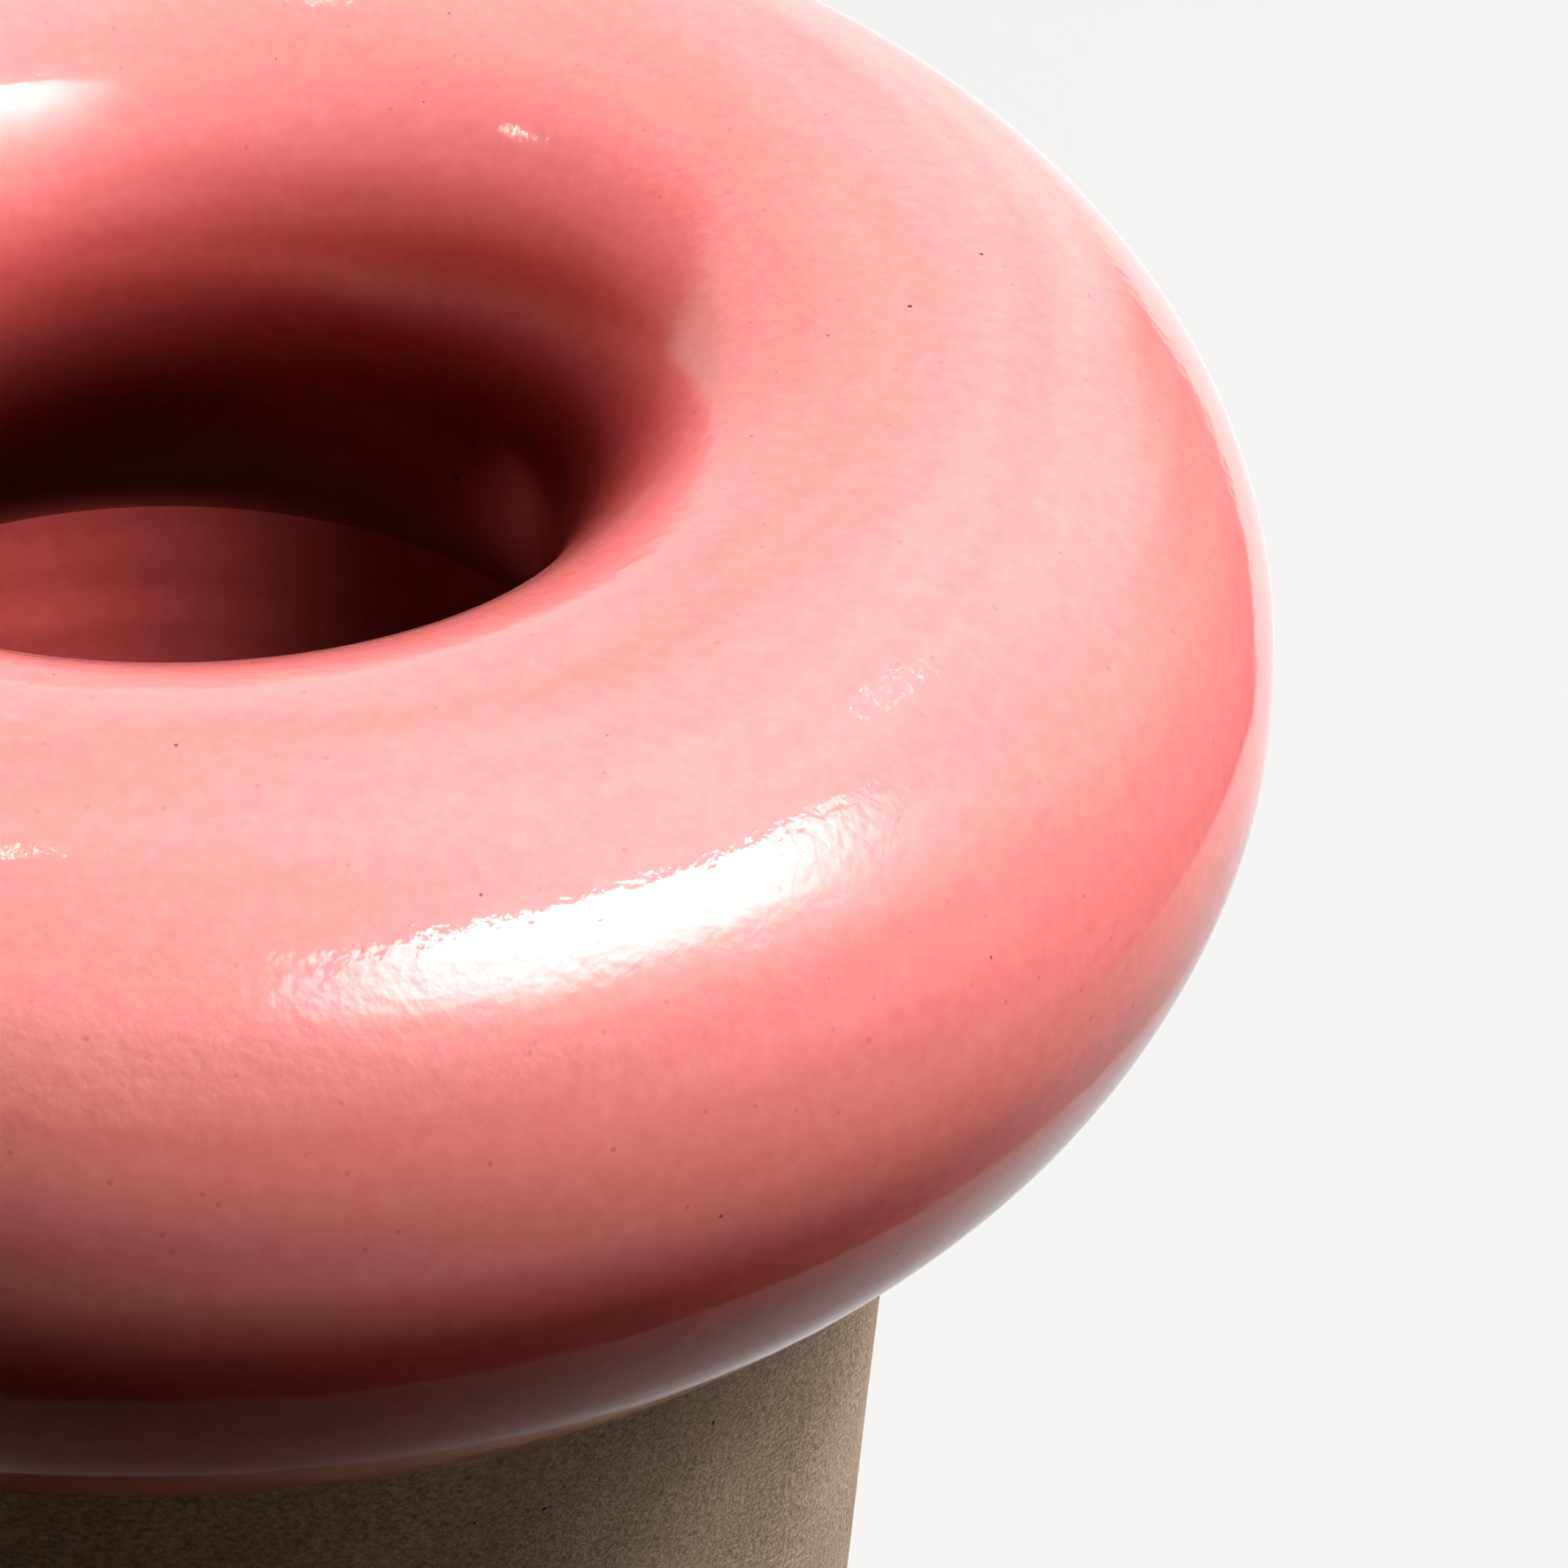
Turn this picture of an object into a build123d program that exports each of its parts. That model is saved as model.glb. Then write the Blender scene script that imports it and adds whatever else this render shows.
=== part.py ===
from build123d import *
from math import acos, cos, pi, sin, sqrt
import os

# Donut vase: a hollow stoneware ring luted on top of a straight raw stoneware
# cylinder. Pink glaze coats the ring and lines the inside; the cylinder's
# outside stays bare. The origin is the centre of the foot, with +Z up the axis.

# Driving dimensions, in millimetres and degrees
VASE_HEIGHT = 200.0        # foot to the top of the ring
RING_DIAMETER = 200.0      # widest outside size of the ring, over its glaze
TUBE_DIAMETER = 66.0       # round section of the ring, over its glaze
RING_WALL = 6.0            # clay wall of the hollow ring
RING_GLAZE = 0.6           # coat on the ring
VENT_DIAMETER = 3.0        # lets air and steam out of the ring in the kiln
VENT_SHARE = 0.62          # place of the vent, from the hole's waist, 0, to the well's wall, 1
VENT_BEARING = -90.0       # place of the vent round the vase, about +Z from +X
BASE_DIAMETER = 143.0      # outside of the cylinder
BASE_WALL = 6.0
FLOOR_THICKNESS = 8.0      # clay between the well and the foot recess
WELL_CORNER = 10.0         # round between the well's floor and its wall
FOOT_WIDTH = 10.0          # flat ring that stands on the table
FOOT_RECESS = 2.5          # depth of the turned recess inside the foot
FOOT_EDGE = 1.5            # sponged round on the foot's outer edge
RECESS_EDGE = 1.0          # rounds at the top and bottom of the recess's side
SLIP_THICKNESS = 1.0       # luting slip between the rim and the ring
SLIP_COVE = 3.0            # reach of the slip's cove under the ring
COVE_HOLLOW = 0.3          # how far the cove bows in, 0 straight and 1 a full corner
LINER_GLAZE = 0.5          # coat inside the well

# Sizes that follow from them
tube_radius = TUBE_DIAMETER / 2
clay_radius = tube_radius - RING_GLAZE
cavity_radius = clay_radius - RING_WALL
saddle_radius = clay_radius + SLIP_THICKNESS
ring_radius = RING_DIAMETER / 2 - tube_radius
ring_height = VASE_HEIGHT - tube_radius
base_radius = BASE_DIAMETER / 2
well_radius = base_radius - BASE_WALL
well_floor = FOOT_RECESS + FLOOR_THICKNESS
glaze_line = base_radius + SLIP_COVE


def tube(radius):
    """A round section at the centre of the ring's tube."""
    return Pos(ring_radius, ring_height) * Circle(radius)


def under_tube(x, radius):
    """The point at distance x from the axis on the underside of a round tube section."""
    return (x, ring_height - sqrt(radius**2 - (x - ring_radius) ** 2))


def band(x_low, x_high, z_low, z_high):
    """A rectangle between two distances from the axis and two heights."""
    centre = Pos((x_low + x_high) / 2, (z_low + z_high) / 2)
    return centre * Rectangle(x_high - x_low, z_high - z_low)


def rounded(section, point, radius):
    """The section with its corner nearest to point rounded off."""
    corner = section.vertices().sort_by_distance((*point, 0))[0]
    return fillet(corner, radius)


def turned(section):
    """The solid that a half section sweeps round the vase's axis."""
    return revolve(Plane.XZ * section, Axis.Z)


def vent():
    """The bore of the kiln vent, out from the tube's centre to past its glaze."""
    start = Vector(ring_radius, 0, ring_height)
    tilt = pi + VENT_SHARE * acos((ring_radius - well_radius) / tube_radius)
    along = Vector(cos(tilt), 0, sin(tilt))
    length = tube_radius + RING_GLAZE
    bore = Plane(start, z_dir=along) * Cylinder(
        VENT_DIAMETER / 2, length, align=(Align.CENTER, Align.CENTER, Align.MIN)
    )
    return Rot(0, 0, VENT_BEARING) * bore


def base_cylinder():
    """The raw cylinder: foot, recess, well and a rim hollowed to seat the ring."""
    foot_inside = base_radius - FOOT_WIDTH
    section = band(0, base_radius, 0, ring_height)
    section -= band(0, well_radius, well_floor, ring_height)
    section -= band(0, foot_inside, 0, FOOT_RECESS)
    section = rounded(section, (well_radius, well_floor), WELL_CORNER)
    section = rounded(section, (base_radius, 0), FOOT_EDGE)
    section = rounded(section, (foot_inside, 0), RECESS_EDGE)
    section = rounded(section, (foot_inside, FOOT_RECESS), RECESS_EDGE)
    return turned(section - tube(saddle_radius))


def donut_ring():
    """The hollow ring of clay, closed all round but for its vent."""
    return turned(tube(clay_radius) - tube(cavity_radius)) - vent()


def joint_slip():
    """The slip that lutes the ring to the rim, wiped to a cove outside."""
    layer = band(well_radius, base_radius, 0, ring_height) & tube(saddle_radius)
    on_tube = Vector(*under_tube(glaze_line, clay_radius))
    corner = Vector(*under_tube(base_radius, clay_radius))
    on_wall = corner - Vector(0, SLIP_THICKNESS + SLIP_COVE)
    middle = (on_tube + on_wall) / 2
    bow = middle + (corner - middle) * COVE_HOLLOW
    inside = Vector(base_radius, ring_height)
    cove = make_face(
        [
            Line(on_wall, inside),
            Line(inside, on_tube),
            ThreePointArc(on_tube, bow, on_wall),
        ]
    )
    return turned(layer + cove - tube(clay_radius))


def ring_glaze():
    """The coat on the ring, from the cove outside over the top and down to the well's wall."""
    coat = tube(tube_radius) - tube(clay_radius)
    return turned(coat - band(well_radius, glaze_line, 0, ring_height)) - vent()


def liner_glaze():
    """The coat on the well's floor and wall, up to the glaze on the ring's underside."""
    liner_radius = well_radius - LINER_GLAZE
    liner_floor = well_floor + LINER_GLAZE
    section = band(0, well_radius, well_floor, ring_height)
    section = rounded(section, (well_radius, well_floor), WELL_CORNER)
    hollow = band(0, liner_radius, liner_floor, ring_height)
    hollow = rounded(hollow, (liner_radius, liner_floor), WELL_CORNER - LINER_GLAZE)
    return turned(section - hollow - tube(tube_radius))


os.makedirs("parts", exist_ok=True)
for piece in (base_cylinder, donut_ring, joint_slip, ring_glaze, liner_glaze):
    export_step(piece(), f"parts/{piece.__name__}.step")
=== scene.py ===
import math

import bpy
import numpy as np
from mathutils import Matrix, Quaternion, Vector


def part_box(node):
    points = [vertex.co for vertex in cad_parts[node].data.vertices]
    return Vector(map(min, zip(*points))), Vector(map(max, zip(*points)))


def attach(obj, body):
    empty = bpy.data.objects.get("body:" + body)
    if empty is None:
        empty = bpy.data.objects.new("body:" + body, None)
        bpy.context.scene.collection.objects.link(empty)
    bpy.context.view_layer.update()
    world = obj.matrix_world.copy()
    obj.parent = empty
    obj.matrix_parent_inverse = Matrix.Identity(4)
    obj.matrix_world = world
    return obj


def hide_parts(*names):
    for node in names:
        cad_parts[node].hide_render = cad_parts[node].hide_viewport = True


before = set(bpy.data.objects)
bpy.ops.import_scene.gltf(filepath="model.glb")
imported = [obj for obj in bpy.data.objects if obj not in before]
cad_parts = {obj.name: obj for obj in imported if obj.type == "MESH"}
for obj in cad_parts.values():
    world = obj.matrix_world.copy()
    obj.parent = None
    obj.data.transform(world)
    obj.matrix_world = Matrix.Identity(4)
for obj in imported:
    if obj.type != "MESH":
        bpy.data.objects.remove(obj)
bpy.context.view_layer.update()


# The base
# A straight cylinder of sandy stoneware, thrown in one with its floor and left bare outside.
# The rim is hollowed to seat the ring, and the foot is turned to a flat ring round a recess.

BASE_WALL = 0.006
BASE_FLOOR = 0.0105
WELL_CORNER = 0.010
FOOT_WIDTH = 0.010
FOOT_RECESS = 0.0025
FOOT_EDGE = 0.0015
RECESS_EDGE = 0.001
BASE_UNEVENNESS = 0.00025
WALL_MARGIN = FOOT_EDGE / 9
SLIP_THICKNESS = 0.001
POLE = 0.002
ROUND_STEPS = 384
base_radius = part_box("base_cylinder")[1].x
well_radius = base_radius - BASE_WALL
foot_inside = base_radius - FOOT_WIDTH
ring_low, ring_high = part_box("donut_ring")
clay_tube = (ring_high.z - ring_low.z) / 2
tube_height = (ring_high.z + ring_low.z) / 2
tube_reach = ring_high.x - clay_tube


def arc(centre, radius, start, end, steps):
    """Points in the half plane of (distance from the axis, height): centre plus radius times
    the cosine and sine of evenly spaced angles from start to end, in degrees."""
    angles = np.radians(np.linspace(start, end, steps))
    return np.stack([centre[0] + radius * np.cos(angles), centre[1] + radius * np.sin(angles)], 1)


def stretch(start, end, steps):
    """Evenly spaced points on the straight line from start to end."""
    share = np.linspace(0, 1, steps)[:, None]
    return (1 - share) * np.array(start) + share * np.array(end)


def slow_waves(bearing, along, count, turns, wave, seed):
    """Hand-made unevenness between -1 and 1: the mean of count sine waves. Each has a whole
    number of waves round the vase, up to turns, a wave length along the profile from wave to
    three times that, and a seeded phase, so the surface closes on itself."""
    draw = np.random.default_rng(seed)
    round_vase = draw.integers(-turns, turns + 1, count)
    along_profile = 2 * np.pi / (wave * draw.uniform(1, 3, count))
    phase = draw.uniform(0, 2 * np.pi, count)
    total = np.zeros(np.broadcast(bearing, along).shape)
    for waves, number, offset in zip(round_vase, along_profile, phase):
        total = total + np.sin(waves * bearing + number * along + offset)
    return total / count


def bearings(columns):
    """Directions round the vase's axis, evenly spaced, as one row of an array."""
    return np.linspace(0, 2 * np.pi, columns, endpoint=False)[None, :]


def lengths_along(profile):
    """The distance covered along a profile up to each of its points, as one column."""
    steps = np.hypot(*np.diff(profile, axis=0).T)
    return np.concatenate([[0.0], np.cumsum(steps)])[:, None]


def turned_piece(name, reach, height, looped):
    """A surface turned on the wheel: row i of the profile at bearing b gives the point
    (reach cos b, reach sin b, height). A looped profile closes on itself; the ends of any
    other one lie near the axis and are closed there by a fan of triangles."""
    rows, columns = reach.shape
    bearing = bearings(columns)
    points = np.stack([reach * np.cos(bearing), reach * np.sin(bearing), height], -1)
    points = points.reshape(-1, 3)
    grid = np.arange(rows * columns).reshape(rows, columns)
    if looped:
        grid = np.concatenate([grid, grid[:1]])
    beside = np.roll(grid, -1, axis=1)
    quads = np.stack([grid[:-1], beside[:-1], beside[1:], grid[1:]], -1).reshape(-1, 4)
    faces = quads.tolist()
    if not looped:
        first, last = len(points), len(points) + 1
        poles = [[0, 0, height[0].mean()], [0, 0, height[-1].mean()]]
        points = np.concatenate([points, poles])
        fan_first = np.stack([beside[0], grid[0], np.full(columns, first)], -1)
        fan_last = np.stack([grid[-1], beside[-1], np.full(columns, last)], -1)
        faces += fan_first.tolist() + fan_last.tolist()
    corner, across, next_corner = points[quads[:, 0]], points[quads[:, 2]], points[quads[:, 1]]
    inside_out = np.einsum("ij,ij->", corner, np.cross(next_corner, across)) < 0
    mesh = bpy.data.meshes.new(name)
    mesh.from_pydata(points.tolist(), [], [face[::-1] for face in faces] if inside_out else faces)
    mesh.shade_smooth()
    piece = bpy.data.objects.new(name, mesh)
    bpy.context.scene.collection.objects.link(piece)
    return piece


def under_tube(reach, radius):
    """The height of the underside of a tube of that radius round the ring's centre line."""
    return tube_height - np.sqrt(radius**2 - (reach - tube_reach) ** 2)


def add_node(tree, kind, sockets=None, **settings):
    """A new shader node with its settings, then each named or numbered socket set or linked."""
    node = tree.nodes.new(kind)
    for name, value in settings.items():
        setattr(node, name, value)
    for name, value in (sockets or {}).items():
        if isinstance(value, bpy.types.NodeSocket):
            tree.links.new(value, node.inputs[name])
        else:
            node.inputs[name].default_value = value
    return node


def calculate(tree, operation, *values):
    """One sum on values that change over a surface."""
    return add_node(tree, "ShaderNodeMath", dict(enumerate(values)), operation=operation).outputs[0]


def between(tree, value, low, high, first=0.0, last=1.0, shape="LINEAR"):
    """First where value is low, last where it is high, and in between in between."""
    sockets = {"Value": value, "From Min": low, "From Max": high, "To Min": first, "To Max": last}
    return add_node(tree, "ShaderNodeMapRange", sockets, interpolation_type=shape).outputs["Result"]


def noise(tree, place, per_metre, detail, roughness):
    """Smooth random values about one half, with about per_metre swells to the metre."""
    sockets = {"Vector": place, "Scale": per_metre, "Detail": detail, "Roughness": roughness}
    return add_node(tree, "ShaderNodeTexNoise", sockets).outputs["Fac"]


def colour_mix(tree, share, first, second):
    """The colour between first and second at that share."""
    sockets = {0: share, 6: first, 7: second}
    return add_node(tree, "ShaderNodeMix", sockets, data_type="RGBA").outputs[2]


def number_mix(tree, share, first, second):
    """The number between first and second at that share."""
    return add_node(tree, "ShaderNodeMix", {0: share, 2: first, 3: second}).outputs[0]


def measure(tree, operation, *vectors):
    """One number worked out from vectors that change over a surface."""
    sockets = dict(enumerate(vectors))
    return add_node(tree, "ShaderNodeVectorMath", sockets, operation=operation).outputs["Value"]


def effect_group(name, inputs, outputs):
    """An empty shader node group with the given sockets, and where to read and write them."""
    group = bpy.data.node_groups.new(name, "ShaderNodeTree")
    for label, kind in inputs.items():
        group.interface.new_socket(label, in_out="INPUT", socket_type="NodeSocket" + kind)
    for label, kind in outputs.items():
        group.interface.new_socket(label, in_out="OUTPUT", socket_type="NodeSocket" + kind)
    given = group.nodes.new("NodeGroupInput").outputs
    result = group.nodes.new("NodeGroupOutput").inputs
    return group, given, result


def placed(tree, group, **values):
    """The outputs of an effect group that is placed in a material with its own values."""
    sockets = {label.replace("_", " "): value for label, value in values.items()}
    return add_node(tree, "ShaderNodeGroup", sockets, node_tree=group).outputs


def object_place(tree):
    """The place on the piece, in metres from the vase's foot."""
    return add_node(tree, "ShaderNodeTexCoord").outputs["Object"]


def new_material(name):
    """A material with its node tree and its Principled shader."""
    material = bpy.data.materials.new(name)
    material.use_nodes = True
    return material, material.node_tree, material.node_tree.nodes["Principled BSDF"]


def speck_group():
    """Round specks strewn through the body: 1 up to half of Radius from a random point and 0 further
    than Radius. There are Per Metre points to each metre, so only those near the surface show."""
    group, given, result = effect_group(
        "strewn_specks", {"Per Metre": "Float", "Radius": "Float"}, {"Mask": "Float"}
    )
    cells = add_node(
        group, "ShaderNodeTexVoronoi", {"Vector": object_place(group), "Scale": given["Per Metre"]}
    )
    edge = calculate(group, "MULTIPLY", given["Per Metre"], given["Radius"])
    core = calculate(group, "MULTIPLY", edge, 0.5)
    mask = between(group, cells.outputs["Distance"], edge, core, shape="SMOOTHSTEP")
    group.links.new(mask, result["Mask"])
    return group


WIPED_ROUND = (1, 1, 1.6)
CRUMB_SHARE = 0.72
CLAY_CONTRAST = (0.36, 0.64)


def sandy_clay_group():
    """Bare clay with sand in it. Height is about 0 to 1: crumbs of grain size and finer ones, drawn
    out a little round the wall. Tint is 0 to 1: pale on the crumbs and dark between them, painted
    light and shade that follow the crumbs' height, over a broad mottling of the clay's own tone."""
    group, given, result = effect_group(
        "sandy_clay", {"Grains Per Metre": "Float"}, {"Height": "Float", "Tint": "Float"}
    )
    place = object_place(group)
    wiped = add_node(group, "ShaderNodeMapping", {"Vector": place, "Scale": WIPED_ROUND}).outputs[0]
    crumbs = noise(group, wiped, given["Grains Per Metre"], detail=3.0, roughness=0.65)
    group.links.new(crumbs, result["Height"])
    patches = noise(group, place, per_metre=45.0, detail=3.0, roughness=0.55)
    # Painted light and shade: the tint mostly follows the crumbs' height.
    tint = number_mix(group, CRUMB_SHARE, patches, crumbs)
    group.links.new(between(group, tint, *CLAY_CONTRAST), result["Tint"])
    return group


specks = speck_group()
sandy_clay = sandy_clay_group()

CLAY_SHADE = (0.370, 0.276, 0.190, 1)
CLAY_LIGHT = (0.785, 0.615, 0.452, 1)
CLAY_PIT = (0.055, 0.042, 0.030, 1)


def clay_material(name, grains_per_metre, relief, roughness):
    """Bare fired clay: a shade tint and a light tint mottled over each other, painted dark between
    the sand grains and pale on them, small dark pits, and sand grains that stand up by about relief
    metres."""
    material, tree, shader = new_material(name)
    clay = placed(tree, sandy_clay, Grains_Per_Metre=grains_per_metre)
    pits = placed(tree, specks, Per_Metre=150.0, Radius=0.00034)["Mask"]
    body = colour_mix(tree, clay["Tint"], CLAY_SHADE, CLAY_LIGHT)
    tree.links.new(colour_mix(tree, pits, body, CLAY_PIT), shader.inputs["Base Color"])
    shader.inputs["Roughness"].default_value = roughness
    shader.inputs["Specular IOR Level"].default_value = 0.2
    sunk = calculate(tree, "SUBTRACT", clay["Height"], pits)
    bump = add_node(tree, "ShaderNodeBump", {"Height": sunk, "Distance": relief, "Strength": 1.0})
    tree.links.new(bump.outputs["Normal"], shader.inputs["Normal"])
    return material


saddle = clay_tube + SLIP_THICKNESS
rim_outside = under_tube(base_radius, saddle)
rim_inside = under_tube(well_radius, saddle)
rim_reach = np.linspace(base_radius, well_radius, 9)
base_profile = np.concatenate(
    [
        stretch((POLE, FOOT_RECESS), (foot_inside - RECESS_EDGE, FOOT_RECESS), 16)[:-1],
        arc((foot_inside - RECESS_EDGE, FOOT_RECESS - RECESS_EDGE), RECESS_EDGE, 90, 0, 6),
        arc((foot_inside + RECESS_EDGE, RECESS_EDGE), RECESS_EDGE, 180, 270, 6),
        arc((base_radius - FOOT_EDGE, FOOT_EDGE), FOOT_EDGE, -90, 0, 8),
        stretch((base_radius, FOOT_EDGE), (base_radius, rim_outside), 70)[1:-1],
        np.stack([rim_reach, under_tube(rim_reach, saddle)], 1),
        stretch((well_radius, rim_inside), (well_radius, BASE_FLOOR + WELL_CORNER), 30)[1:-1],
        arc((well_radius - WELL_CORNER, BASE_FLOOR + WELL_CORNER), WELL_CORNER, 0, -90, 10),
        stretch((well_radius - WELL_CORNER, BASE_FLOOR), (POLE, BASE_FLOOR), 14)[1:],
    ]
)
base_bearing = bearings(ROUND_STEPS)
base_along = lengths_along(base_profile)
base_uneven = slow_waves(base_bearing, base_along, count=9, turns=4, wave=0.030, seed=11)
on_wall = (np.abs(base_profile[:, :1] - base_radius) < WALL_MARGIN).astype(float)
base_reach = base_profile[:, :1] - on_wall * BASE_UNEVENNESS * (0.5 + 0.5 * base_uneven)
base_height = np.repeat(base_profile[:, 1:], base_bearing.size, axis=1)
base = turned_piece("base_turned", base_reach, base_height, looped=False)
bare_stoneware = clay_material(
    "bare_stoneware", grains_per_metre=1250.0, relief=0.00055, roughness=0.92
)
base.data.materials.append(bare_stoneware)
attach(base, "root")
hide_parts("base_cylinder")


# The ring's clay
# The donut itself: a hollow ring of the same stoneware, closed all round. The glaze hides it
# but for a hair line of clay under the lower edge of the coat.

clay_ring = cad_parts["donut_ring"]
clay_ring.data.materials.clear()
clay_ring.data.materials.append(bare_stoneware)


# The slip in the joint
# Wet clay that sticks the ring to the rim of the base. It is squeezed out all round and wiped
# to a small cove under the ring, smoother than the sandy wall below it.

SLIP_COVE = 0.003
COVE_HOLLOW = 0.3
COVE_UNEVENNESS = 0.0003
cove_top = np.array([base_radius + SLIP_COVE, under_tube(base_radius + SLIP_COVE, clay_tube)])
cove_corner = np.array([base_radius, under_tube(base_radius, clay_tube)])
cove_foot = cove_corner - np.array([0, SLIP_THICKNESS + SLIP_COVE])
cove_share = np.linspace(0, 1, 12)[:, None]
cove_chord = (1 - cove_share) * cove_foot + cove_share * cove_top
cove_sag = 4 * cove_share * (1 - cove_share) * COVE_HOLLOW
cove_bow = cove_sag * (cove_corner - (cove_foot + cove_top) / 2)
seat_reach = np.linspace(base_radius + SLIP_COVE, well_radius, 14)
slip_profile = np.concatenate(
    [
        cove_chord + cove_bow,
        np.stack([seat_reach, under_tube(seat_reach, clay_tube)], 1)[1:],
        np.stack([rim_reach, under_tube(rim_reach, saddle)], 1)[::-1],
    ]
)
slip_bearing = bearings(ROUND_STEPS)
slip_along = lengths_along(slip_profile)
slip_uneven = slow_waves(slip_bearing, slip_along, count=8, turns=11, wave=0.012, seed=23)
in_cove = np.zeros((len(slip_profile), 1))
in_cove[1 : len(cove_share) - 1] = 1
slip_reach = slip_profile[:, :1] - in_cove * COVE_UNEVENNESS * (0.5 + 0.5 * slip_uneven)
slip_height = np.repeat(slip_profile[:, 1:], slip_bearing.size, axis=1)
slip = turned_piece("joint_cove", slip_reach, slip_height, looped=True)
luting_slip = clay_material("luting_slip", grains_per_metre=2100.0, relief=0.00015, roughness=0.88)
slip.data.materials.append(luting_slip)
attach(slip, "root")
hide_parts("joint_slip")


# The glaze on the ring
# A glossy pink coat about half a millimetre thick, dipped on and fired. It pools a little in the
# low bands left by the wheel, and its lower edge rolls up to a soft bead.

RING_GLAZE = 0.0006
EDGE_BEAD = 0.0003
EDGE_BEAD_WIDTH = 0.0011
EDGE_WANDER = 0.0012
RING_UNEVENNESS = 0.00018
WHEEL_BANDS = 0.00026
COAT_ROWS = 220
BACK_ROWS = 28
# Whole numbers below are degrees round the tube: 0 faces outwards, 90 is the top, 180 the hole.
# The side lit from the right, with less painted shade under the ring and more on the hole's wall, is
# given by the cosine of the bearing from the right.
HOLE_SHADE_POOL = (137, 192)
HOLE_SHADE_LEAN = 22
SKIRT_SHADE_POOL = (13, -4)
SKIRT_SHADE_DEPTH = 0.45
SKIRT_WANDER = 7
SKIRT_SHADE_LIFT = (-6, -24)
SKIRT_SHADE_LIFTED = 0.60
SKIRT_LIT_SIDE = (0.25, 0.75)
SKIRT_LIT_SIDE_CUT = 0.90
HOLE_WIPED = (108, 142)
BANDS_WIPED = 0.85
PEEL_WIPED = 0.9
FRONT_PEEL = (24, 48)
FRONT_PEEL_LEFT = 0.35
HOLE_MATT = (122, 152)
HOLE_MATT_SHARE = 0.58
DEEP_MATT = (178, 200)
DEEP_MATT_SHARE = 0.42
glazed_tube = clay_tube + RING_GLAZE
glaze_start = -np.degrees(np.arccos((base_radius + SLIP_COVE - tube_reach) / clay_tube))
glaze_end = 180 + np.degrees(np.arccos((tube_reach - well_radius) / clay_tube))

BAND_CIRCLE = 0.011


def wheel_band_group():
    """Marks that the wheel leaves: smooth random values about one half, Per Metre to the metre
    across the profile and drawn out to about nine times that length round the vase, because
    bearings are laid on a circle nine times smaller than the ring."""
    group, given, result = effect_group("wheel_bands", {"Per Metre": "Float"}, {"Band": "Float"})
    place = add_node(group, "ShaderNodeSeparateXYZ", {0: object_place(group)}).outputs
    flat = add_node(group, "ShaderNodeCombineXYZ", {"X": place["X"], "Y": place["Y"]}).outputs[0]
    reach = measure(group, "LENGTH", flat)
    heading = add_node(group, "ShaderNodeVectorMath", {0: flat}, operation="NORMALIZE")
    heading = add_node(group, "ShaderNodeSeparateXYZ", {0: heading.outputs["Vector"]}).outputs
    drawn_x = calculate(group, "MULTIPLY", heading["X"], BAND_CIRCLE)
    drawn_y = calculate(group, "MULTIPLY", heading["Y"], BAND_CIRCLE)
    drawn = add_node(group, "ShaderNodeCombineXYZ", {"X": reach, "Y": place["Z"], "Z": drawn_x})
    sockets = {"Vector": drawn.outputs[0], "W": drawn_y, "Scale": given["Per Metre"], "Detail": 2.0}
    bands = add_node(group, "ShaderNodeTexNoise", sockets, noise_dimensions="4D")
    group.links.new(bands.outputs["Fac"], result["Band"])
    return group


wheel_bands = wheel_band_group()

BAND_SHARE = 0.5


def glaze_mottle_group():
    """The pink of the glaze: Colour runs from Thin to Deep by a fine leathery mottling of about a
    millimetre, over broad bands where the glaze ran thicker along the wheel's marks."""
    group, given, result = effect_group(
        "glaze_mottle", {"Thin": "Color", "Deep": "Color", "Contrast": "Float"}, {"Colour": "Color"}
    )
    fine = noise(group, object_place(group), per_metre=620.0, detail=4.0, roughness=0.65)
    bands = placed(group, wheel_bands, Per_Metre=190.0)["Band"]
    both = number_mix(group, BAND_SHARE, fine, bands)
    low = calculate(group, "SUBTRACT", 0.5, given["Contrast"])
    high = calculate(group, "ADD", 0.5, given["Contrast"])
    share = between(group, both, low, high)
    group.links.new(colour_mix(group, share, given["Thin"], given["Deep"]), result["Colour"])
    return group


PEEL_HEIGHT = 0.000048
LUMP_HEIGHT = 0.00006
BAND_HEIGHT = 0.00010
DIMPLE_DEPTH = 0.000009
DIMPLED_PATCHES = (0.52, 0.62)


def glaze_skin_group():
    """The skin of a fired glaze: Height, in metres, is a fine orange peel of about a millimetre over
    low lumps and wheel bands, with patches of faint dimples where bubbles healed."""
    group, _, result = effect_group("glaze_skin", {}, {"Height": "Float"})
    place = object_place(group)
    peel = noise(group, place, per_metre=860.0, detail=2.0, roughness=0.5)
    peel = calculate(group, "MULTIPLY", peel, PEEL_HEIGHT)
    lumps = noise(group, place, per_metre=170.0, detail=1.0, roughness=0.5)
    lumps = calculate(group, "MULTIPLY", lumps, LUMP_HEIGHT)
    bands = placed(group, wheel_bands, Per_Metre=270.0)["Band"]
    bands = calculate(group, "MULTIPLY", bands, BAND_HEIGHT)
    patches = noise(group, place, per_metre=60.0, detail=2.0, roughness=0.5)
    dimples = placed(group, specks, Per_Metre=560.0, Radius=0.00045)["Mask"]
    dimples = calculate(group, "MULTIPLY", dimples, between(group, patches, *DIMPLED_PATCHES))
    dimples = calculate(group, "MULTIPLY", dimples, DIMPLE_DEPTH)
    rough = calculate(group, "ADD", calculate(group, "ADD", peel, lumps), bands)
    group.links.new(calculate(group, "SUBTRACT", rough, dimples), result["Height"])
    return group


glaze_mottle = glaze_mottle_group()
glaze_skin = glaze_skin_group()

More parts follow.
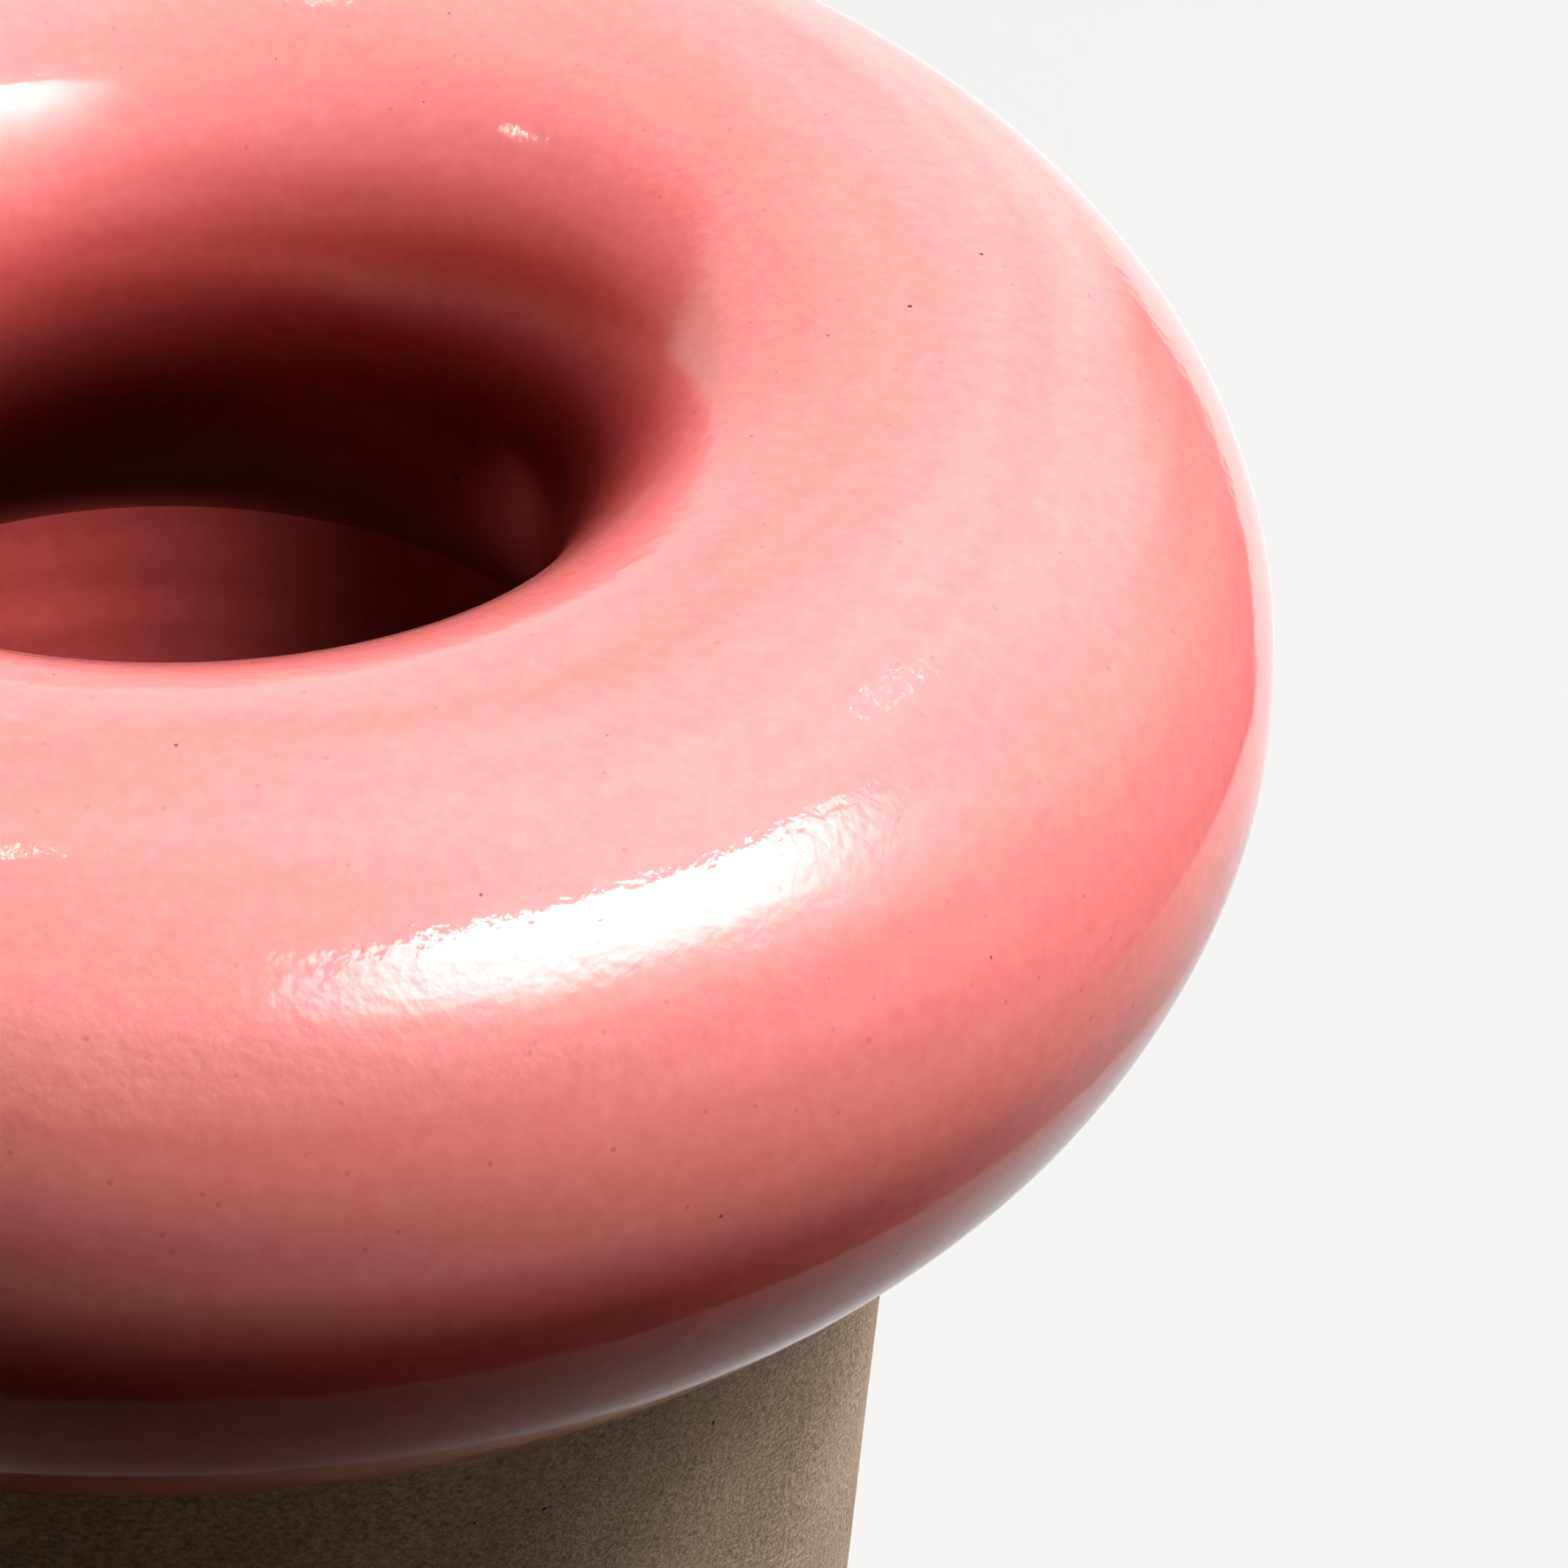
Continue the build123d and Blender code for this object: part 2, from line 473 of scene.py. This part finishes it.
PINK_THIN = (0.970, 0.280, 0.264, 1)
PINK_DEEP = (0.885, 0.210, 0.199, 1)
HOLLOW_SHARE = 0.35
HOLLOW_THIN = (0.665, 0.120, 0.114, 1)
HOLLOW_DEEP = (0.565, 0.087, 0.082, 1)
# Nearly black: painted shade deep in the hole, on the ring's underside and in the well.
SHADED_THIN = (0.115, 0.005, 0.008, 1)
SHADED_DEEP = (0.075, 0.003, 0.005, 1)
RUST_FRECKLE = (0.800, 0.195, 0.150, 1)
PLUM_FRECKLE = (0.330, 0.060, 0.070, 1)
IRON_SPECK = (0.060, 0.014, 0.012, 1)
FRECKLED = (0.05, 0.30)
GLOSS_SWELLS = (0.3, 0.7)
GLAZE_ROUGHNESS = (0.045, 0.095)
MATT_ROUGHNESS = 0.285
GLAZE_IOR = 1.52


def ease(value, start, end):
    """0 up to start, 1 from end on, and in between three times the square less twice the cube."""
    share = np.clip((value - start) / (end - start), 0, 1)
    return share**2 * (3 - 2 * share)


def keep_on_points(piece, name, share):
    """Keeps a share from 0 to 1 on each point of a piece: how far the glaze ran thick there and is
    darkened with painted shade, how much of its orange peel is left, or how far it lost its gloss."""
    kept = piece.data.attributes.new(name, "FLOAT", "POINT")
    kept.data.foreach_set("value", np.ascontiguousarray(share, dtype=np.float32).ravel())


def kept_share(tree, name):
    """The share that keep_on_points kept under that name."""
    return add_node(tree, "ShaderNodeAttribute", attribute_name=name).outputs["Fac"]


def glaze_pool_and_shade(tree, pool_and_shade, pink, hollow, deep):
    """The colour of the glaze by its share of thick glaze and painted shade: pink at 0, hollow at
    its share, deep at 1.
    """
    colour = colour_mix(tree, between(tree, pool_and_shade, 0.0, HOLLOW_SHARE), pink, hollow)
    return colour_mix(tree, between(tree, pool_and_shade, HOLLOW_SHARE, 1.0), colour, deep)


def glaze_material(name, contrast):
    """Glossy pink glaze: mottled from thin to deep, a little darker where it ran thick and much
    darker where shade is painted into the hole and under the ring, strewn with small rust and plum
    freckles and a few dark iron specks, with a fine orange peel that breaks up the edges of
    reflections."""
    material, tree, shader = new_material(name)
    pool_and_shade = kept_share(tree, "pool_and_shade")
    thin = glaze_pool_and_shade(tree, pool_and_shade, PINK_THIN, HOLLOW_THIN, SHADED_THIN)
    deep = glaze_pool_and_shade(tree, pool_and_shade, PINK_DEEP, HOLLOW_DEEP, SHADED_DEEP)
    colour = placed(tree, glaze_mottle, Thin=thin, Deep=deep, Contrast=contrast)["Colour"]
    rust = placed(tree, specks, Per_Metre=330.0, Radius=0.00030)["Mask"]
    plum = placed(tree, specks, Per_Metre=130.0, Radius=0.00021)["Mask"]
    iron = placed(tree, specks, Per_Metre=90.0, Radius=0.00030)["Mask"]
    # Freckles show only where little shade is painted.
    out_of_shade = between(tree, pool_and_shade, *FRECKLED, 1.0, 0.0)
    for mask, speck in ((rust, RUST_FRECKLE), (plum, PLUM_FRECKLE), (iron, IRON_SPECK)):
        colour = colour_mix(tree, calculate(tree, "MULTIPLY", mask, out_of_shade), colour, speck)
    tree.links.new(colour, shader.inputs["Base Color"])
    swells = noise(tree, object_place(tree), per_metre=210.0, detail=2.0, roughness=0.5)
    gloss = between(tree, swells, *GLOSS_SWELLS, *GLAZE_ROUGHNESS)
    rough = calculate(tree, "MULTIPLY_ADD", kept_share(tree, "matt"), MATT_ROUGHNESS, gloss)
    tree.links.new(rough, shader.inputs["Roughness"])
    shader.inputs["IOR"].default_value = GLAZE_IOR
    peel_left = kept_share(tree, "peel_left")
    skin = calculate(tree, "MULTIPLY", placed(tree, glaze_skin)["Height"], peel_left)
    bump = add_node(tree, "ShaderNodeBump", {"Height": skin, "Distance": 1.0, "Strength": 1.0})
    tree.links.new(bump.outputs["Normal"], shader.inputs["Normal"])
    return material


ring_bearing = bearings(ROUND_STEPS)
wander = slow_waves(ring_bearing, np.zeros((1, 1)), count=9, turns=17, wave=1.0, seed=31)
start_angle = np.radians(glaze_start) + (0.5 + 0.5 * wander) * EDGE_WANDER / clay_tube
end_angle = np.full_like(start_angle, np.radians(glaze_end))
coat_share = np.linspace(0, 1, COAT_ROWS)[:, None]
coat_angle = (1 - coat_share) * start_angle + coat_share * end_angle
coat_along = coat_angle * glazed_tube
uneven = slow_waves(ring_bearing, coat_along, count=12, turns=4, wave=0.045, seed=37)
wheel = slow_waves(ring_bearing, coat_along, count=14, turns=3, wave=0.006, seed=41)
from_edge = (coat_angle - start_angle) * glazed_tube
bead = EDGE_BEAD * np.exp(-(((from_edge - EDGE_BEAD_WIDTH) / EDGE_BEAD_WIDTH) ** 2))
roll = np.sqrt(np.clip(1 - (1 - np.clip(from_edge / RING_GLAZE, 0, 1)) ** 2, 0, 1))
wiped = 1 - BANDS_WIPED * ease(np.degrees(coat_angle), *HOLE_WIPED)
hollows = RING_UNEVENNESS * (0.5 + 0.5 * uneven) + WHEEL_BANDS * (0.5 + 0.5 * wiped * wheel)
coat_radius = clay_tube + roll * (RING_GLAZE - hollows + bead)
back_share = np.linspace(1, 0, BACK_ROWS)[1:-1, None]
back_angle = (1 - back_share) * start_angle + back_share * end_angle
back_radius = np.full_like(back_angle, clay_tube)
section_angle = np.concatenate([coat_angle, back_angle])
section_radius = np.concatenate([coat_radius, back_radius])
ring_reach = tube_reach + section_radius * np.cos(section_angle)
ring_height = tube_height + section_radius * np.sin(section_angle)
ring_coat = turned_piece("ring_coat", ring_reach, ring_height, looped=True)
section_degrees = np.degrees(section_angle)
# Painted shade: the glaze's colour darkens into the hole, sooner on its right side, where a little
# of it is glaze that ran thick, and under the ring at the front, less on the lit right side.
shade_leaning = HOLE_SHADE_LEAN * np.clip(np.cos(ring_bearing), 0, 1) ** 2
hole_shade = ease(section_degrees + shade_leaning, *HOLE_SHADE_POOL)
wandering = section_degrees + SKIRT_WANDER * np.resize(uneven, section_angle.shape)
skirt_shade = ease(wandering, *SKIRT_SHADE_POOL) - SKIRT_SHADE_LIFTED * ease(wandering, *SKIRT_SHADE_LIFT)
skirt_shade = skirt_shade * (1 - SKIRT_LIT_SIDE_CUT * ease(np.cos(ring_bearing), *SKIRT_LIT_SIDE))
keep_on_points(ring_coat, "pool_and_shade", np.maximum(hole_shade, SKIRT_SHADE_DEPTH * skirt_shade))
over_front = FRONT_PEEL_LEFT + (1 - FRONT_PEEL_LEFT) * ease(section_degrees, *FRONT_PEEL)
into_wiped = PEEL_WIPED * ease(section_degrees, *HOLE_WIPED)
keep_on_points(ring_coat, "peel_left", over_front * (1 - into_wiped))
less_gloss = HOLE_MATT_SHARE * ease(section_degrees, *HOLE_MATT)
less_gloss = less_gloss + DEEP_MATT_SHARE * ease(section_degrees, *DEEP_MATT)
keep_on_points(ring_coat, "matt", less_gloss)
ring_coat.data.materials.append(glaze_material("pink_glaze", contrast=0.16))
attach(ring_coat, "root")
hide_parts("ring_glaze")


# The glaze in the well
# The same pink glaze poured in, swirled round and tipped out. It shows the spiral that the
# thrower's fingers left in the wall and on the floor, and ends against the ring's own coat.

LINER_GLAZE = 0.0005
FINGER_SPIRAL = 0.00022
SPIRAL_PITCH = 0.0085
SPIRAL_START = 0.010
FLOOR_BLEND = 0.004
EDGE_ROWS = 3
LINER_STEPS = 320
LINER_SHADE_POOL = 0.8
LINER_PEEL_LEFT = 0.1
LINER_MATT = 1.0
liner_radius = well_radius - LINER_GLAZE
liner_floor = BASE_FLOOR + LINER_GLAZE
liner_corner = WELL_CORNER - LINER_GLAZE
liner_top = under_tube(liner_radius, glazed_tube)
wall_top = under_tube(well_radius, glazed_tube)
liner_inside = np.concatenate(
    [
        stretch((POLE, liner_floor), (liner_radius - liner_corner, liner_floor), 60)[:-1],
        arc((liner_radius - liner_corner, liner_floor + liner_corner), liner_corner, -90, 0, 14),
        stretch((liner_radius, liner_floor + liner_corner), (liner_radius, liner_top), 96)[1:],
    ]
)
liner_outside = np.concatenate(
    [
        stretch((well_radius, wall_top), (well_radius, BASE_FLOOR + WELL_CORNER), 12),
        arc((well_radius - WELL_CORNER, BASE_FLOOR + WELL_CORNER), WELL_CORNER, 0, -90, 8)[1:],
        stretch((well_radius - WELL_CORNER, BASE_FLOOR), (POLE, BASE_FLOOR), 6)[1:],
    ]
)
liner_profile = np.concatenate([liner_inside, liner_outside])
liner_bearing = bearings(LINER_STEPS)
liner_along = lengths_along(liner_profile)
marked_rows = len(liner_inside) - EDGE_ROWS
facing_in = (np.arange(len(liner_profile)) < marked_rows).astype(float)[:, None]
spiral = 0.5 + 0.5 * np.sin(2 * np.pi * liner_along / SPIRAL_PITCH + liner_bearing)
on_floor = np.clip((liner_radius - liner_corner - liner_profile[:, :1]) / FLOOR_BLEND, 0, 1)
off_pole = np.clip(liner_profile[:, :1] / SPIRAL_START, 0, 1)
rise = facing_in * FINGER_SPIRAL * spiral * off_pole
liner_reach = liner_profile[:, :1] - rise * (1 - on_floor)
liner_height = liner_profile[:, 1:] + rise * on_floor
liner = turned_piece("well_liner", liner_reach, liner_height, looped=False)
all_over = np.ones(len(liner.data.vertices))
# Painted shade: the well's glaze takes most of the near-black colour of the hole's depths, all over.
keep_on_points(liner, "pool_and_shade", LINER_SHADE_POOL * all_over)
keep_on_points(liner, "peel_left", LINER_PEEL_LEFT * all_over)
keep_on_points(liner, "matt", LINER_MATT * all_over)
liner.data.materials.append(glaze_material("pink_liner", contrast=0.14))
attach(liner, "root")
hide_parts("liner_glaze")


# The set
# A plain pale floor that keeps the vase's shadow, a white backdrop behind, lamps above and to the
# right, and a weak fill from the rear left. The room in front is dark, as the ring's gloss shows.
# The camera, matt surfaces and gloss each meet the floor and the room at a strength of their own,
# and what matt surfaces and gloss meet on the floor is painted light and shade.

FLOOR_SIZE = 6.0
floor_corners = np.array([[-1, -1, 0], [1, -1, 0], [1, 1, 0], [-1, 1, 0]]) * FLOOR_SIZE / 2
floor_mesh = bpy.data.meshes.new("floor")
floor_mesh.from_pydata(floor_corners.tolist(), [], [(0, 1, 2, 3)])
floor = bpy.data.objects.new("floor", floor_mesh)
bpy.context.scene.collection.objects.link(floor)

PAPER_WHITE = 0.93
PAPER_GLOW = 0.60
PAPER_GREY = 0.20
PAPER_BOUNCE = (0.048, 0.036, 0.027, 1)
RIGHT_BOUNCE = (0.640, 0.610, 0.580, 1)
PAPER_FADE = (0.3, 1.3)
SUNNY_SLANT = 0.9
SUNNY_EDGE = (0.10, 0.32)
DISC_MIDDLE = (0.150, 0.020, 0.0)
DISC_RADIUS = 0.285
SHEET_SLANT = 0.48
SHEET_START = 0.26
PALE_EDGE = (-0.004, 0.004)
PALE_FROM = (-0.11, 0.22)
PALE_SHINE = 1.15
TURNTABLE_RADIUS = 0.218
TURNTABLE_EDGE = (-0.002, 0.002)
TURNTABLE_FROM = (-1.0, 0.10)
TURNTABLE_SHINE = (0.075, 0.78)
floor_material = bpy.data.materials.new("pale_floor")
floor_material.use_nodes = True
tree = floor_material.node_tree
tree.nodes.clear()
rays = add_node(tree, "ShaderNodeLightPath").outputs
place = object_place(tree)
across = add_node(tree, "ShaderNodeSeparateXYZ", {0: place}).outputs
from_vase = measure(tree, "LENGTH", place)
grey = between(tree, from_vase, *PAPER_FADE, PAPER_GREY, 0.0)
paper = add_node(tree, "ShaderNodeBsdfDiffuse", {"Color": grey})
glow = between(tree, from_vase, *PAPER_FADE, PAPER_GLOW, PAPER_WHITE)
glow = add_node(tree, "ShaderNodeEmission", {"Strength": glow})
shown = add_node(tree, "ShaderNodeAddShader", {0: paper.outputs[0], 1: glow.outputs[0]})
# Painted light and shade: to matt surfaces the floor is dark, and pale only at the right rear where
# the lamps fall on it.
sunny = calculate(tree, "MULTIPLY_ADD", across["Y"], SUNNY_SLANT, across["X"])
bounce = colour_mix(tree, between(tree, sunny, *SUNNY_EDGE), PAPER_BOUNCE, RIGHT_BOUNCE)
bounce = add_node(tree, "ShaderNodeBsdfDiffuse", {"Color": bounce})
# Painted reflection: gloss sees the floor glow as a pale disc, a sheet and a turntable edge,
# brighter towards the back where they are lit.
in_disc = calculate(tree, "SUBTRACT", DISC_RADIUS, measure(tree, "DISTANCE", place, DISC_MIDDLE))
sheet_end = calculate(tree, "MULTIPLY_ADD", across["Y"], SHEET_SLANT, SHEET_START)
on_sheet = calculate(tree, "SUBTRACT", sheet_end, across["X"])
on_sheet = calculate(tree, "MINIMUM", on_sheet, across["Y"])
pale = between(tree, calculate(tree, "MAXIMUM", in_disc, on_sheet), *PALE_EDGE)
pale_lit = between(tree, across["Y"], *PALE_FROM, 0.0, PALE_SHINE)
on_turntable = calculate(tree, "SUBTRACT", TURNTABLE_RADIUS, from_vase)
on_turntable = between(tree, on_turntable, *TURNTABLE_EDGE)
towards_back = calculate(tree, "DIVIDE", across["Y"], from_vase)
turntable_lit = between(tree, towards_back, *TURNTABLE_FROM, *TURNTABLE_SHINE)
shine = calculate(tree, "MULTIPLY", pale, pale_lit)
shine_near = calculate(tree, "MULTIPLY", on_turntable, turntable_lit)
shine = calculate(tree, "MAXIMUM", shine, shine_near)
painted_reflection = add_node(tree, "ShaderNodeEmission", {"Strength": shine})
kinds = {0: rays["Is Glossy Ray"], 1: bounce.outputs[0], 2: painted_reflection.outputs[0]}
unseen = add_node(tree, "ShaderNodeMixShader", kinds)
seen = calculate(tree, "MAXIMUM", rays["Is Camera Ray"], rays["Is Transmission Ray"])
whole = add_node(tree, "ShaderNodeMixShader", {0: seen, 1: unseen.outputs[0], 2: shown.outputs[0]})
add_node(tree, "ShaderNodeOutputMaterial", {"Surface": whole.outputs[0]})
floor.data.materials.append(floor_material)

SHEET_WAY = (-0.04, 0.918, -0.394)
SHEET_CONE = (0.745, 0.775)
SHEET_GLOW = 1.3
OVERHEAD_WAY = (0.340, 0.060, 0.938)
OVERHEAD_CONE = (0.35, 1.0)
OVERHEAD_GLOW = 4.2
BACKDROP_WAY = (0.0, 0.940, 0.340)
BACKDROP_CONE = (0.775, 0.835)
BACKDROP_GLOW = 1.6
MATT_CONE = (0.55, 0.80)
MATT_GLOW = (0.02, 0.34)
world = bpy.data.worlds.new("studio")
world.use_nodes = True
bpy.context.scene.world = world
tree = world.node_tree
tree.nodes.clear()
rays = add_node(tree, "ShaderNodeLightPath").outputs
look = add_node(tree, "ShaderNodeTexCoord").outputs["Generated"]
to_sheet = measure(tree, "DOT_PRODUCT", look, SHEET_WAY)
to_overhead = measure(tree, "DOT_PRODUCT", look, OVERHEAD_WAY)
to_backdrop = measure(tree, "DOT_PRODUCT", look, BACKDROP_WAY)
low_sheet = between(tree, to_sheet, *SHEET_CONE, 0.0, SHEET_GLOW)
overhead = between(tree, to_overhead, *OVERHEAD_CONE, 0.0, OVERHEAD_GLOW)
backdrop = between(tree, to_backdrop, *BACKDROP_CONE, 0.0, BACKDROP_GLOW)
in_gloss = calculate(tree, "MAXIMUM", low_sheet, calculate(tree, "MAXIMUM", overhead, backdrop))
on_matt = between(tree, to_sheet, *MATT_CONE, *MATT_GLOW)
unseen = number_mix(tree, rays["Is Glossy Ray"], on_matt, in_gloss)
seen = calculate(tree, "MAXIMUM", rays["Is Camera Ray"], rays["Is Transmission Ray"])
level = number_mix(tree, seen, unseen, PAPER_WHITE)
sky = add_node(tree, "ShaderNodeBackground", {"Strength": level})
add_node(tree, "ShaderNodeOutputWorld", {"Surface": sky.outputs[0]})

NEUTRAL = (1.0, 0.985, 0.965)
WARM = (1.0, 0.88, 0.68)


def softbox(name, bearing, rise, distance, width, depth, radiance, roll=0, tint=NEUTRAL):
    """A rectangular lamp that faces the ring from a bearing, in degrees from the front towards
    the right, and a rise above the horizon. It is rolled about its own axis, and its power is its
    radiance times its area times pi."""
    lamp = bpy.data.lights.new(name, "AREA")
    lamp.shape = "RECTANGLE"
    lamp.size = width
    lamp.size_y = depth
    lamp.energy = math.pi * width * depth * radiance
    lamp.color = tint
    bearing, rise, roll = math.radians(bearing), math.radians(rise), math.radians(roll)
    level = math.cos(rise)
    towards = Vector((level * math.sin(bearing), -level * math.cos(bearing), math.sin(rise)))
    box = bpy.data.objects.new(name, lamp)
    box.location = Vector((0, 0, tube_height)) + distance * towards
    turn = towards.to_track_quat("Z", "Y") @ Quaternion((0, 0, 1), roll)
    box.rotation_euler = turn.to_euler()
    bpy.context.scene.collection.objects.link(box)
    return box


MAIN_LAMP = dict(bearing=104, rise=60, distance=1.5, width=0.95, depth=0.75, radiance=20)
SIDE_FILL = dict(bearing=-120, rise=1, distance=1.6, width=1.2, depth=0.28, radiance=3)
for name, given in (("main_lamp", MAIN_LAMP), ("side_fill", SIDE_FILL)):
    softbox(name, **given).visible_glossy = False


def fade(lamp, ends, rise, fall):
    """Dims a lamp towards its ends, from that share of its half length outwards. Across its depth,
    counted from its lower edge, it grows over the stretch rise and dies away over the stretch
    fall. Only gloss shows it: matt surfaces get no light from it."""
    lamp.visible_diffuse = False
    lamp.data.use_nodes = True
    tree = lamp.data.node_tree
    on_lamp = add_node(tree, "ShaderNodeNewGeometry").outputs["Parametric"]
    on_lamp = add_node(tree, "ShaderNodeSeparateXYZ", {0: on_lamp}).outputs
    from_middle = calculate(tree, "ABSOLUTE", calculate(tree, "SUBTRACT", on_lamp["X"], 0.5))
    along = between(tree, from_middle, 0.5, ends / 2, shape="SMOOTHSTEP")
    growing = between(tree, on_lamp["Y"], *rise, shape="SMOOTHSTEP")
    dying = between(tree, on_lamp["Y"], *fall, 1.0, 0.0, "SMOOTHSTEP")
    across = calculate(tree, "MULTIPLY", growing, dying)
    dimmed = calculate(tree, "MULTIPLY", along, across)
    tree.links.new(dimmed, tree.nodes["Emission"].inputs["Strength"])


STRIP_TURN = dict(bearing=60.5, roll=-28.5)
STRIP = dict(rise=54.5, distance=2.2, width=2.25, depth=1.16, radiance=16.5)
STRIP_GLOW = dict(rise=47.0, distance=2.4, width=3.40, depth=2.40, radiance=1.7)
strip = softbox("strip_softbox", **STRIP_TURN, **STRIP)
fade(strip, ends=0.25, rise=(0.0, 0.66), fall=(0.745, 0.780))
strip_glow = softbox("strip_glow", **STRIP_TURN, **STRIP_GLOW)
fade(strip_glow, ends=0.30, rise=(0.0, 0.4), fall=(0.6, 1.0))

CEILING_DISTANCE = 6.0
CEILING_LAMPS = {
    "ceiling_lamp_back": dict(bearing=-150.5, rise=74.4, width=0.520, depth=0.110, radiance=44),
    "ceiling_lamp_right": dict(bearing=123.7, rise=48.6, width=0.280, depth=0.130, radiance=26),
    "ceiling_lamp_left": dict(bearing=-102.2, rise=51.2, width=0.420, depth=0.220, radiance=36),
}
for name, given in CEILING_LAMPS.items():
    ceiling_lamp = softbox(name, distance=CEILING_DISTANCE, tint=WARM, **given)
    fade(ceiling_lamp, ends=0.5, rise=(0.0, 0.25), fall=(0.75, 1.0))

WELL_SPOT = Vector((-0.018, 0.062, 0.114))
WELL_LAMP_WAY = Vector((0.14, -0.76, 0.65))
WELL_LAMP_DISTANCE = 0.9
well_data = bpy.data.lights.new("well_lamp", "SPOT")
well_data.energy = 84.0
well_data.spot_size = math.radians(3.4)
well_data.spot_blend = 1.0
well_data.shadow_soft_size = 0.02
well_lamp = bpy.data.objects.new("well_lamp", well_data)
from_spot = WELL_LAMP_WAY.normalized()
well_lamp.location = WELL_SPOT + WELL_LAMP_DISTANCE * from_spot
well_lamp.rotation_euler = from_spot.to_track_quat("Z", "Y").to_euler()
well_lamp.visible_glossy = False
well_only = bpy.data.collections.new("well_only")
well_only.objects.link(liner)
well_lamp.light_linking.receiver_collection = well_only
well_lamp.light_linking.blocker_collection = well_only
bpy.context.scene.collection.objects.link(well_lamp)


# The camera
# It stands in front of the vase, above it and close, with the vase's axis left of the frame.

CAMERA_DISTANCE = 0.42371
CAMERA_RISE = math.radians(36.349)
CAMERA_YAW = math.radians(7.4995)
CAMERA_PITCH = math.radians(-2.634)
CAMERA_ROLL = math.radians(-0.2857)
LENS_MM = 106.89
SENSOR_MM = 36.0

from_ring = Vector((0, -math.cos(CAMERA_RISE), math.sin(CAMERA_RISE)))
sideways = Vector((1, 0, 0))
upright = sideways.cross(-from_ring)
forward = -from_ring + math.tan(CAMERA_YAW) * sideways + math.tan(CAMERA_PITCH) * upright
forward.normalize()
right = forward.cross(upright).normalized()
up = right.cross(forward)
rolled_right = math.cos(CAMERA_ROLL) * right + math.sin(CAMERA_ROLL) * up
rolled_up = math.cos(CAMERA_ROLL) * up - math.sin(CAMERA_ROLL) * right
turn = Matrix((rolled_right, rolled_up, -forward)).transposed().to_4x4()
camera_data = bpy.data.cameras.new("camera")
camera_data.lens = LENS_MM
camera_data.sensor_width = SENSOR_MM
camera_data.clip_start = 0.01
camera = bpy.data.objects.new("camera", camera_data)
camera_place = Vector((0, 0, tube_height)) + CAMERA_DISTANCE * from_ring
camera.matrix_world = Matrix.Translation(camera_place) @ turn
bpy.context.scene.collection.objects.link(camera)
bpy.context.scene.camera = camera
bpy.context.scene.view_settings.view_transform = "Standard"
